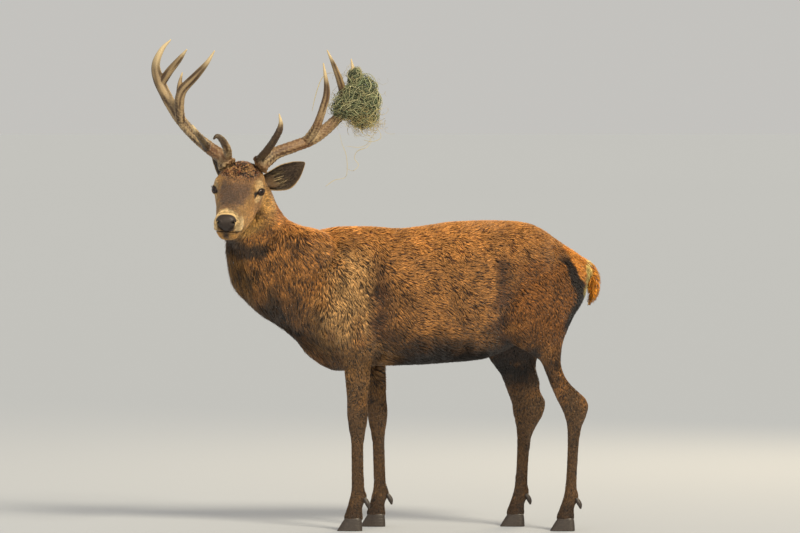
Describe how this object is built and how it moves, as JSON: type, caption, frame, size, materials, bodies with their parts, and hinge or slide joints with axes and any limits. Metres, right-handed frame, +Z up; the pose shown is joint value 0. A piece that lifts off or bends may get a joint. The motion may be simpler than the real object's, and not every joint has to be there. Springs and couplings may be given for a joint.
{
  "type": "red deer stag",
  "caption": "Life-size museum-style model of a standing red deer stag, head turned to its left, branching antlers with a clump of grass caught on one.",
  "frame": {"origin": "on the floor, under the middle of the whole model's bounding box", "axes": "+Z up; -X the way the trunk faces; -Y the animal's left side, which its head is turned to"},
  "size_m": [1.616, 0.6454, 1.765],
  "materials": {
    "coat": "dense short hair, matt, red-brown to dark brown",
    "face_coat": "very short hair, matt, grey-brown",
    "nose": "bare moist skin, finely pebbled, half gloss",
    "eye": "wet and clear, full gloss",
    "antler": "pearled grey-brown bone, polished ivory tips",
    "hoof": "dark horn, worn, half matt",
    "grass": "dry grass stems, matt"
  },
  "bodies": {
    "root": {"neck": "coat", "foreleg_left": "coat", "hindleg_left": "coat", "foreleg_right": "coat", "hindleg_right": "coat", "trunk": "coat", "tail": "coat", "head": "face_coat", "nose": "nose", "eye_left": "eye", "ear_left": "face_coat", "eye_right": "eye", "ear_right": "face_coat", "antler_right_beam": "antler", "antler_right_brow": "antler", "antler_right_bez": "antler", "antler_right_trez": "antler", "antler_right_spike": "antler", "antler_right_surroyal": "antler", "antler_left_beam": "antler", "antler_left_brow": "antler", "antler_left_trez": "antler", "antler_left_surroyal": "antler", "grass_tangle": "grass", "hoof_fore_left_inner": "hoof", "dewclaw_fore_left_inner": "hoof", "hoof_fore_left_outer": "hoof", "dewclaw_fore_left_outer": "hoof", "hoof_fore_right_inner": "hoof", "dewclaw_fore_right_inner": "hoof", "hoof_fore_right_outer": "hoof", "dewclaw_fore_right_outer": "hoof", "hoof_hind_left_inner": "hoof", "dewclaw_hind_left_inner": "hoof", "hoof_hind_left_outer": "hoof", "dewclaw_hind_left_outer": "hoof", "hoof_hind_right_inner": "hoof", "dewclaw_hind_right_inner": "hoof", "hoof_hind_right_outer": "hoof", "dewclaw_hind_right_outer": "hoof"}
  },
  "joints": []
}
